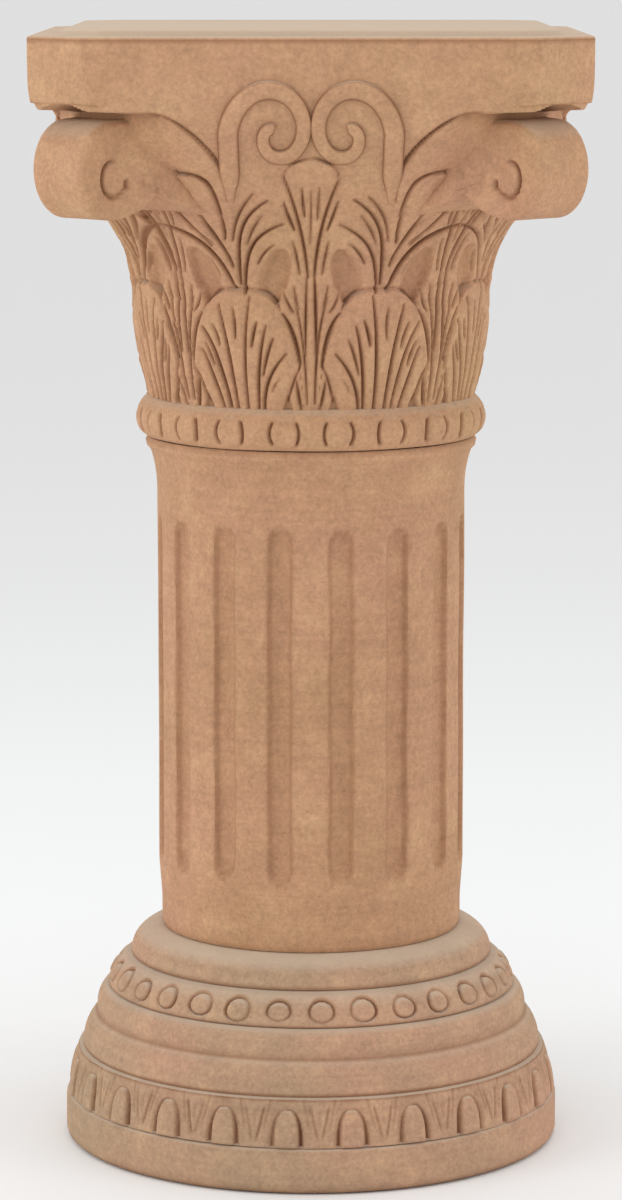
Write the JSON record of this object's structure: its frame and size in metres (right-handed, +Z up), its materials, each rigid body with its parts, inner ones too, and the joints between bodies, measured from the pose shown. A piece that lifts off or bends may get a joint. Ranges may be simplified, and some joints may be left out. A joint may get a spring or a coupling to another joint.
{
  "type": "terracotta column pedestal",
  "caption": "Unglazed terracotta column pedestal with a moulded round base, a fluted shaft and a leaf-carved capital under a square top; carries a plant or a statue.",
  "frame": {"origin": "centre of the foot, on the ground", "axes": "+Z up along the column, -Y out of the face that the picture shows, +X to its right"},
  "size_m": [0.343, 0.343, 0.7041],
  "materials": {
    "base_clay": "matte unglazed terracotta, greyish pink",
    "shaft_clay": "matte unglazed terracotta, orange buff",
    "capital_clay": "matte unglazed terracotta, orange buff"
  },
  "bodies": {
    "root": {"base": "base_clay", "shaft": "shaft_clay", "capital": "capital_clay"}
  },
  "joints": []
}
